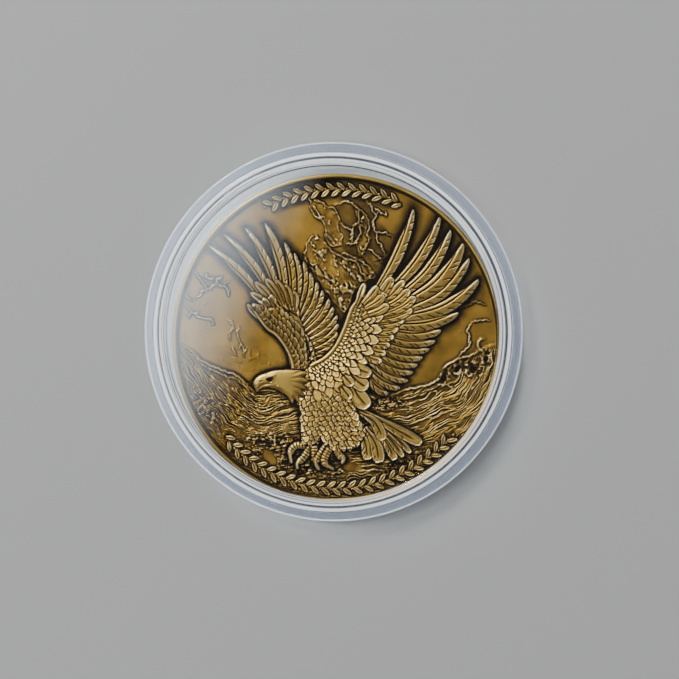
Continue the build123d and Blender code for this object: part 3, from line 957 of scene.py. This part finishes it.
def lay_map(mesh, centre):
    """Bake map: a big disc for the obverse, a small one for the reverse, a strip for the edge."""
    corners = np.empty(len(mesh.loops), int)
    mesh.loops.foreach_get("vertex_index", corners)
    spots = np.empty(3 * len(mesh.vertices))
    mesh.vertices.foreach_get("co", spots)
    spots = spots.reshape(-1, 3) / MM - np.array(centre)
    starts = np.empty(len(mesh.polygons), int)
    sizes = np.empty(len(mesh.polygons), int)
    mesh.polygons.foreach_get("loop_start", starts)
    mesh.polygons.foreach_get("loop_total", sizes)
    face = np.repeat(np.arange(starts.size), sizes)
    spot = spots[corners]
    middle = np.add.reduceat(spot, starts) / sizes[:, None]
    out = np.hypot(middle[:, 0], middle[:, 1])[face]
    top = middle[face, 2] > COIN_THICKNESS / 2
    edge = out > COIN_RADIUS - 0.02
    around = np.arctan2(spot[:, 1], spot[:, 0]) / (2 * math.pi) % 1
    around_middle = (np.arctan2(middle[:, 1], middle[:, 0]) / (2 * math.pi) % 1)[face]
    around += np.round(around_middle - around)
    disc_u, disc_v, size = (np.where(top, *pair) for pair in zip(OBVERSE_SPOT, REVERSE_SPOT))
    strip_u, strip_v, strip_length, strip_height = EDGE_STRIP
    disc_u = disc_u + size * spot[:, 0] / COIN_RADIUS
    disc_v = disc_v + size * spot[:, 1] / COIN_RADIUS
    u = np.where(edge, strip_u + strip_length * around, disc_u)
    v = np.where(edge, strip_v + strip_height * spot[:, 2] / COIN_THICKNESS, disc_v)
    layer = mesh.uv_layers.new(name="OFBake")
    layer.data.foreach_set("uv", np.stack([u, v], 1).ravel())


def node(tree, kind, inputs, **settings):
    """Add a shader node, with its inputs linked or set, and return it."""
    made = tree.nodes.new("ShaderNode" + kind)
    for key, value in settings.items():
        setattr(made, key, value)
    for key, value in inputs.items():
        if isinstance(value, bpy.types.NodeSocket):
            tree.links.new(value, made.inputs[key])
        else:
            made.inputs[key].default_value = value
    return made


def new_material(name):
    """An empty node material."""
    made = bpy.data.materials.new(name)
    made.use_nodes = True
    made.node_tree.nodes.clear()
    return made


def mix_colour(tree, share, first, second):
    """Mix two colours by a share."""
    return node(tree, "Mix", {0: share, 6: first, 7: second}, data_type="RGBA").outputs[2]


def mix_value(tree, share, first, second):
    """Mix two numbers by a share."""
    return node(tree, "Mix", {0: share, 2: first, 3: second}).outputs[0]


# ------------------------------------------------------------------- finishes
PATINA = (0.008, 0.005, 0.003, 1)
DULL_FIELD = (0.04, 0.018, 0.001, 1)
GOLDEN_FIELD = (0.37, 0.2, 0.028, 1)
RUBBED_BRASS = (0.43, 0.262, 0.056, 1)
BRIGHT_BRASS = (0.95, 0.74, 0.36, 1)
CLEAR = (0.95, 0.965, 0.97, 1)
SMOKY = (0.64, 0.67, 0.74, 1)
FROSTED_HIGHLIGHT_WHITE = (0.95, 0.95, 0.95, 1)
PAINTED_SHADE_GREY = (0.12, 0.13, 0.15, 1)
# White bands are painted highlight rings, frosted white where the rounded shoulders would show bright
# reflections; grey bands are painted shade lines where the steep walls look dark from above.
SHELL_BANDS = [  # inner and outer radius, how clear the plastic is there, and its colour
    (20.0, 20.35, 1.0, CLEAR),
    (20.4, 20.5, 0.5, FROSTED_HIGHLIGHT_WHITE),
    (20.56, 20.68, 0.95, CLEAR),
    (20.74, 20.86, 0.35, FROSTED_HIGHLIGHT_WHITE),
    (20.92, 21.2, 0.6, PAINTED_SHADE_GREY),
    (21.3, 21.6, 0.15, FROSTED_HIGHLIGHT_WHITE),
    (21.7, 21.7, 0.85, PAINTED_SHADE_GREY),
    (21.85, 22.75, 0.9, SMOKY),
    (22.85, 23.0, 0.6, FROSTED_HIGHLIGHT_WHITE),
]


def antique_brass():
    """Brass with dark patina in the hollows and bare metal on the high spots.

    The red of the Finish attribute is how dark a point is, its green how worn.
    """
    made = new_material("antique_brass")
    tree = made.node_tree
    place = node(tree, "TexCoord", {}).outputs["Object"]
    finish = node(tree, "Attribute", {}, attribute_name="Finish")
    parts = node(tree, "SeparateColor", {"Color": finish.outputs["Color"]})
    dark = parts.outputs["Red"]
    worn = parts.outputs["Green"]
    cloudy = node(tree, "TexNoise", {"Vector": place, "Scale": 420.0, "Detail": 5.0})
    grain = node(tree, "TexNoise", {"Vector": place, "Scale": 9000.0, "Detail": 2.0})
    field = mix_colour(tree, cloudy.outputs["Fac"], DULL_FIELD, GOLDEN_FIELD)
    rubbed = node(tree, "MapRange", {"Value": worn, "From Max": 0.5}).outputs[0]
    bright = node(tree, "MapRange", {"Value": worn, "From Min": 0.5}).outputs[0]
    bare = mix_colour(tree, rubbed, field, RUBBED_BRASS)
    bare = mix_colour(tree, bright, bare, BRIGHT_BRASS)
    colour = mix_colour(tree, dark, bare, PATINA)
    smooth = mix_value(tree, worn, 0.42, 0.24)
    roughness = mix_value(tree, dark, smooth, 0.7)
    bump = node(tree, "Bump", {"Height": grain.outputs["Fac"], "Strength": 0.3, "Distance": 0.00002})
    shader = node(
        tree,
        "BsdfPrincipled",
        {"Base Color": colour, "Roughness": roughness, "Metallic": 1.0, "Normal": bump.outputs["Normal"]},
    )
    node(tree, "OutputMaterial", {"Surface": shader.outputs["BSDF"]})
    return made


def ramp(tree, value, stops):
    """A colour that changes along a value, through stops of place and colour."""
    made = node(tree, "ValToRGB", {"Fac": value})
    elements = made.color_ramp.elements
    elements[0].position, elements[0].color = stops[0]
    elements[1].position, elements[1].color = stops[-1]
    for place, colour in stops[1:-1]:
        elements.new(place).color = colour
    return made.outputs["Color"]


def clear_plastic():
    """Clear moulded acrylic that lets the light through to the coin, with painted highlight rings in frosted
    white and painted shade lines in grey along its rings.
    """
    made = new_material("clear_plastic")
    tree = made.node_tree
    place = node(tree, "TexCoord", {}).outputs["Object"]
    flat = node(tree, "VectorMath", {0: place, 1: (1, 1, 0)}, operation="MULTIPLY").outputs[0]
    radius = node(tree, "VectorMath", {0: flat}, operation="LENGTH").outputs["Value"]
    first = SHELL_BANDS[0][0]
    last = SHELL_BANDS[-1][1]
    ring = node(
        tree,
        "MapRange",
        {"Value": radius, "From Min": first * MM, "From Max": last * MM},
    ).outputs[0]
    # Stops by radius: the plastic is less clear in its bands, which carry painted highlight (white) and
    # painted shade (grey).
    clear_stops = []
    tint_stops = []
    for inner, outer, clear, tint in SHELL_BANDS:
        for edge in sorted({inner, outer}):
            stop = (edge - first) / (last - first)
            clear_stops.append((stop, (clear, clear, clear, 1)))
            tint_stops.append((stop, tint))
    shader = node(
        tree,
        "BsdfPrincipled",
        {
            "Base Color": ramp(tree, ring, tint_stops),
            "Roughness": 0.03,
            "IOR": 1.49,
            "Transmission Weight": ramp(tree, ring, clear_stops),
        },
    )
    through = node(tree, "BsdfTransparent", {"Color": CLEAR})
    path = node(tree, "LightPath", {})
    mixed = node(
        tree,
        "MixShader",
        {0: path.outputs["Is Shadow Ray"], 1: shader.outputs["BSDF"], 2: through.outputs["BSDF"]},
    )
    node(tree, "OutputMaterial", {"Surface": mixed.outputs["Shader"]})
    return made


# -------------------------------------------------------------------- capsule
SPLIT = base_low.z + (lid_high.z - base_low.z) / 2
FLANGE_RADIUS = (base_high.x - base_low.x) / 2
FLANGE_THICKNESS = 0.85
WALL_RADIUS = 21.8
CAVITY_RADIUS = 21.2
AIR = 0.012  # the pieces only rest on each other, so light crosses a film of air
WINDOW_TOP = coin_low.z - AIR  # where the base's window is flat inside
GUARD_INNER = 20.35
GUARD_OUTER = 20.95
GUARD_HEIGHT = 0.2
GUARD_SLOPE = 0.35
GUARD_ROUND = 0.1
GUARD_FOOT_ROUND = 0.04
SHOULDER_DROP = 0.45
SNAP_INNER = 21.95
SNAP_OUTER = 22.3
SNAP_HEIGHT = 0.4
SNAP_ROUND = 0.1
GROOVE_CLEARANCE = 0.04
GROOVE_HEADROOM = 0.1
SLOT_RADIUS = 22.45
SLOT_DEPTH = 0.4
SLOT_ANGLES = (-52.5, -27.5)


ROUND_STEPS = 5  # straight pieces in one rounded corner


def rounded_line(corners):
    """A line through corners given as radius, height and round, with the rounds cut."""
    line = []
    places = [np.array(corner[:2]) for corner in corners]
    for k, (radius, height, corner_round) in enumerate(corners):
        here = places[k]
        if not corner_round:
            line.append(here)
            continue
        back = places[k - 1] - here
        ahead = places[k + 1] - here
        back /= np.linalg.norm(back)
        ahead /= np.linalg.norm(ahead)
        turn = math.pi - math.acos(np.clip(back @ ahead, -1, 1))
        reach = corner_round * math.tan(turn / 2)
        for t in np.linspace(0, 1, ROUND_STEPS + 1):
            line.append(here + reach * ((1 - t) ** 2 * back + t**2 * ahead))
    return np.array(line)


def shell_line(top, ring_inner, ring_outer, ring_height, ring_round):
    """Half section of one shell, window down, from the axis outside round to the axis inside."""
    flange_low = SPLIT - FLANGE_THICKNESS
    return rounded_line([
        (0, GUARD_HEIGHT, 0),
        (GUARD_INNER - GUARD_SLOPE - 0.2, GUARD_HEIGHT, 0),
        (GUARD_INNER - GUARD_SLOPE, GUARD_HEIGHT, GUARD_FOOT_ROUND),
        (GUARD_INNER, 0, GUARD_ROUND),
        (GUARD_OUTER, 0, GUARD_ROUND),
        (GUARD_OUTER, SHOULDER_DROP, GUARD_ROUND),
        (WALL_RADIUS, SHOULDER_DROP, 0.3),
        (WALL_RADIUS, flange_low, 0.15),
        (FLANGE_RADIUS, flange_low, 0.2),
        (FLANGE_RADIUS, top, 0.08),
        (SLOT_RADIUS, top, 0),
        (SLOT_RADIUS - 0.001, top, 0),  # stays up where the nail slot cuts the point before it
        (ring_outer, top, 0),
        (ring_outer, SPLIT + ring_height, ring_round),
        (ring_inner, SPLIT + ring_height, ring_round),
        (ring_inner, top, 0),
        (CAVITY_RADIUS, top, 0),
        (CAVITY_RADIUS, WINDOW_TOP, 0.2),
        (CAVITY_RADIUS - 0.4, WINDOW_TOP, 0),
        (0, WINDOW_TOP, 0),
    ])


def lathe(name, line, slot=False, mirrored=False):
    """Turn a half section round the Z axis into a closed shell."""
    angles = np.radians(np.arange(0, 360, 1.0))
    if slot:
        ends = np.radians([end + nudge for end in SLOT_ANGLES for nudge in (-0.01, 0.01)]) % (2 * math.pi)
        angles = np.unique(np.concatenate([angles, ends]))
    radius = line[1:-1, 0]
    points = []
    for angle in angles:
        turned = (math.degrees(angle) + 180) % 360 - 180
        height = line[1:-1, 1].copy()
        if slot and SLOT_ANGLES[0] < turned < SLOT_ANGLES[1]:
            cut = (radius >= SLOT_RADIUS - 0.0005) & (height > SPLIT - SLOT_DEPTH)
            height[cut] = SPLIT - SLOT_DEPTH
        points.append(np.stack([radius * math.cos(angle), radius * math.sin(angle), height], 1))
    number = np.arange(angles.size * (len(line) - 2)).reshape(angles.size, -1)
    following = np.roll(number, -1, axis=0)
    walls = np.stack([number[:, :-1], following[:, :-1], following[:, 1:], number[:, 1:]], -1).reshape(-1, 4)
    low = np.full(angles.size, number.size)
    caps = [
        np.stack([low, following[:, 0], number[:, 0]], -1),
        np.stack([low + 1, number[:, -1], following[:, -1]], -1),
    ]
    points = np.concatenate(points + [np.array([[0, 0, line[0, 1]], [0, 0, line[-1, 1]]])])
    if mirrored:
        points[:, 2] = 2 * SPLIT - points[:, 2]
        walls = walls[:, ::-1]
        caps = [cap[:, ::-1] for cap in caps]
    made = mesh_object(name, points * MM, [walls] + caps)
    made.data.set_sharp_from_angle(angle=math.radians(38))
    return made


# ------------------------------------------------------------------- assembly
brass = antique_brass()
plastic = clear_plastic()

points, finish, faces = coin_mesh()
centre = (coin_low + coin_high) / 2
points[:, 0] += centre.x
points[:, 1] += centre.y
coin = mesh_object("coin_relief", points * MM, faces)
paint = coin.data.color_attributes.new("Finish", "FLOAT_COLOR", "POINT")
colours = np.zeros((len(points), 4))
colours[:, :2] = finish
colours[:, 3] = 1
paint.data.foreach_set("color", colours.ravel())
lay_map(coin.data, (centre.x, centre.y, coin_low.z))

base_line = shell_line(SPLIT - AIR, SNAP_INNER, SNAP_OUTER, SNAP_HEIGHT, SNAP_ROUND)
base = lathe("base_shell", base_line, slot=True)
lid_line = shell_line(
    SPLIT,
    SNAP_INNER - GROOVE_CLEARANCE,
    SNAP_OUTER + GROOVE_CLEARANCE,
    -SNAP_HEIGHT - GROOVE_HEADROOM,
    0,
)
lid = lathe("lid_shell", lid_line, mirrored=True)

for piece, node_name, surface, slot_name in (
    (coin, "coin", brass, "antique_brass"),
    (base, "capsule_base", plastic, "clear_plastic"),
    (lid, "capsule_lid", plastic, "clear_plastic"),
):
    piece.data.materials.append(surface)
    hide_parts(node_name)
    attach(piece, node_name)

# ---------------------------------------------------------------------- stage
CAMERA_LENS = 131
CAMERA_SENSOR = 36
CAMERA_DISTANCE = 0.3
CAMERA_TILT = 5.0
CAMERA_TURN = 22.7
CAMERA_TARGET = Vector((0.79, -0.91, SPLIT)) * MM
FLOOR_COLOUR = (0.36, 0.35, 0.34, 1)
FLOOR_GAP = 0.00002
PANEL_PLACE = (-0.147, 0.026, 0.4)
PANEL_SIZE = (0.208, 0.21)
PANEL_TURN = -22
PANEL_COLOUR = (0.79, 0.9, 1.0, 1)
PANEL_STRENGTH = 7.3
PANEL_SOFT_X = 0.15  # how wide the soft edges are, as shares of its size
PANEL_SOFT_Y = 0.3
WORLD_COLOUR = (0.9, 0.95, 1.0, 1)
HORIZON_STRENGTH = 6.4
OVERHEAD_STRENGTH = 0.12
HORIZON_TOP = 0.29  # height of a direction above which the world is dim


def smooth_range(tree, value, start, end, at_start, at_end):
    """Smooth change from one number to another while a value goes from start to end."""
    limits = {"From Min": start, "From Max": end, "To Min": at_start, "To Max": at_end}
    inputs = {"Value": value, **limits}
    return node(tree, "MapRange", inputs, interpolation_type="SMOOTHSTEP").outputs[0]


def plain_material(name, colour, roughness):
    """A plain surface without texture."""
    made = new_material(name)
    tree = made.node_tree
    shader = node(tree, "BsdfPrincipled", {"Base Color": colour, "Roughness": roughness})
    node(tree, "OutputMaterial", {"Surface": shader.outputs["BSDF"]})
    return made


def glowing_material(name):
    """A light panel's surface, which fades towards its four edges."""
    made = new_material(name)
    tree = made.node_tree
    place = node(tree, "TexCoord", {}).outputs["Object"]
    sides = node(tree, "SeparateXYZ", {"Vector": place})
    falloffs = []
    for side, soft, most in (("X", PANEL_SOFT_X, PANEL_STRENGTH), ("Y", PANEL_SOFT_Y, 1.0)):
        distance = node(tree, "Math", {0: sides.outputs[side]}, operation="ABSOLUTE").outputs[0]
        falloffs.append(smooth_range(tree, distance, 0.5 - soft, 0.5, most, 0.0))
    strength = node(tree, "Math", dict(enumerate(falloffs)), operation="MULTIPLY").outputs[0]
    emission = node(tree, "Emission", {"Color": PANEL_COLOUR, "Strength": strength})
    node(tree, "OutputMaterial", {"Surface": emission.outputs["Emission"]})
    return made


def area_light(name, place, width, power):
    """A soft square light at a place, aimed at the coin."""
    lamp = bpy.data.lights.new(name, "AREA")
    lamp.size = width
    lamp.energy = power
    made = bpy.data.objects.new(name, lamp)
    made.location = place
    made.rotation_euler = (-Vector(place)).to_track_quat("-Z", "Y").to_euler()
    bpy.context.scene.collection.objects.link(made)


def sheet(name, width, corners, height=0.0):
    """A square sheet that lies level, with its corners in the given order."""
    points = [(width * x, width * y, height) for x, y in corners]
    return mesh_object(name, np.array(points), [np.array([[0, 1, 2, 3]])])


# Corners of a square whose face looks up, and of one whose face looks down.
UPWARD = [(-0.5, -0.5), (0.5, -0.5), (0.5, 0.5), (-0.5, 0.5)]
DOWNWARD = [(-0.5, -0.5), (-0.5, 0.5), (0.5, 0.5), (0.5, -0.5)]

floor = sheet("floor", 3.0, UPWARD, -FLOOR_GAP)
floor.data.materials.append(plain_material("floor", FLOOR_COLOUR, 0.8))

area_light("key", (-0.3, 0.38, 0.5), width=0.12, power=4.6)
area_light("fill", (0.5, -0.1, 0.4), width=0.3, power=0.8)

# A soft panel above the left side, whose reflection veils the window's upper left.
softbox = sheet("softbox", 1.0, DOWNWARD)
softbox.location = PANEL_PLACE
softbox.scale = (*PANEL_SIZE, 1)
softbox.rotation_euler = (0, 0, math.radians(PANEL_TURN))
softbox.data.materials.append(glowing_material("softbox"))

world = bpy.data.worlds.new("studio")
world.use_nodes = True
world.node_tree.nodes.clear()
sky = world.node_tree
direction = node(sky, "TexCoord", {}).outputs["Generated"]
upward = node(sky, "SeparateXYZ", {"Vector": direction}).outputs["Z"]
strength = smooth_range(sky, upward, 0.0, HORIZON_TOP, HORIZON_STRENGTH, OVERHEAD_STRENGTH)
background = node(sky, "Background", {"Color": WORLD_COLOUR, "Strength": strength})
node(sky, "OutputWorld", {"Surface": background.outputs["Background"]})
bpy.context.scene.world = world

camera = bpy.data.objects.new("camera", bpy.data.cameras.new("camera"))
camera.data.lens = CAMERA_LENS
camera.data.sensor_width = CAMERA_SENSOR
lean = math.radians(CAMERA_TILT)
turn = math.radians(CAMERA_TURN)
away = Vector((math.sin(lean) * math.cos(turn), math.sin(lean) * math.sin(turn), math.cos(lean)))
camera.location = CAMERA_TARGET + CAMERA_DISTANCE * away
right = Vector((0, 1, 0)).cross(away).normalized()
camera.rotation_euler = Matrix((right, away.cross(right), away)).transposed().to_euler()
bpy.context.scene.collection.objects.link(camera)
bpy.context.scene.camera = camera
